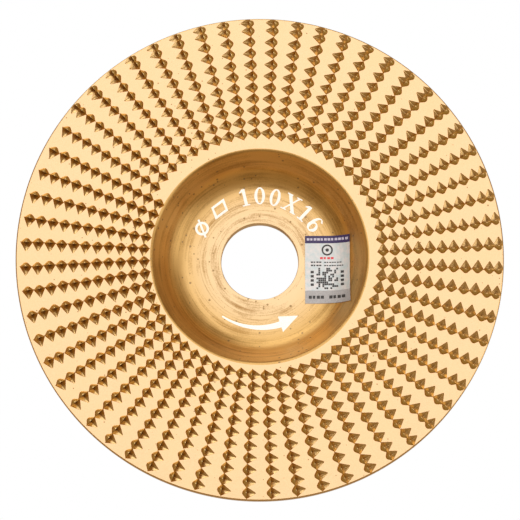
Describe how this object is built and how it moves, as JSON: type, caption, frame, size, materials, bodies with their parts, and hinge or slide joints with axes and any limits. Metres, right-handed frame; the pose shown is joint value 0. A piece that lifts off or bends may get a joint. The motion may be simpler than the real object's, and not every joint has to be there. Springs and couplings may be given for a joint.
{
  "type": "angle grinder carving disc",
  "caption": "Dished gold-coated steel disc with a spiral of punched rasp teeth on its face, a plain centre bore, printed size mark and a silver seal label.",
  "frame": {"origin": "centre of the bore on the back face of the hub, which is the lowest face", "axes": "+Z along the bore axis, out of the toothed face; +Y towards the top of the printed size mark; +X towards the seal label"},
  "size_m": [0.1, 0.1, 0.0103],
  "materials": {
    "gold_steel": "gold-coated hardened steel, fine turned grain",
    "white_ink": "opaque printed ink",
    "label_glue": "clear to amber pressure glue",
    "silver_film": "silvered satin film",
    "navy_ink": "printed ink",
    "pale_ink": "printed ink",
    "black_ink": "printed ink",
    "red_ink": "printed ink",
    "grey_ink": "printed ink"
  },
  "bodies": {
    "root": {"disc_plate": "gold_steel", "tooth_turn_01": "gold_steel", "tooth_turn_02": "gold_steel", "tooth_turn_03": "gold_steel", "tooth_turn_04": "gold_steel", "tooth_turn_05": "gold_steel", "tooth_turn_06": "gold_steel", "tooth_turn_07": "gold_steel", "tooth_turn_08": "gold_steel", "tooth_turn_09": "gold_steel", "tooth_turn_10": "gold_steel", "tooth_turn_11": "gold_steel", "size_mark_digits": "white_ink", "diameter_sign": "white_ink", "flat_face_sign": "white_ink", "direction_arrow": "white_ink", "label_glue": "label_glue", "label_film": "silver_film", "label_header": "navy_ink", "label_header_marks": "pale_ink", "label_emblem": "black_ink", "label_red_line": "red_ink", "label_text_lines": "black_ink", "label_code_block": "black_ink", "label_side_marks": "black_ink", "label_footer": "grey_ink", "label_footer_marks": "black_ink"}
  },
  "joints": []
}
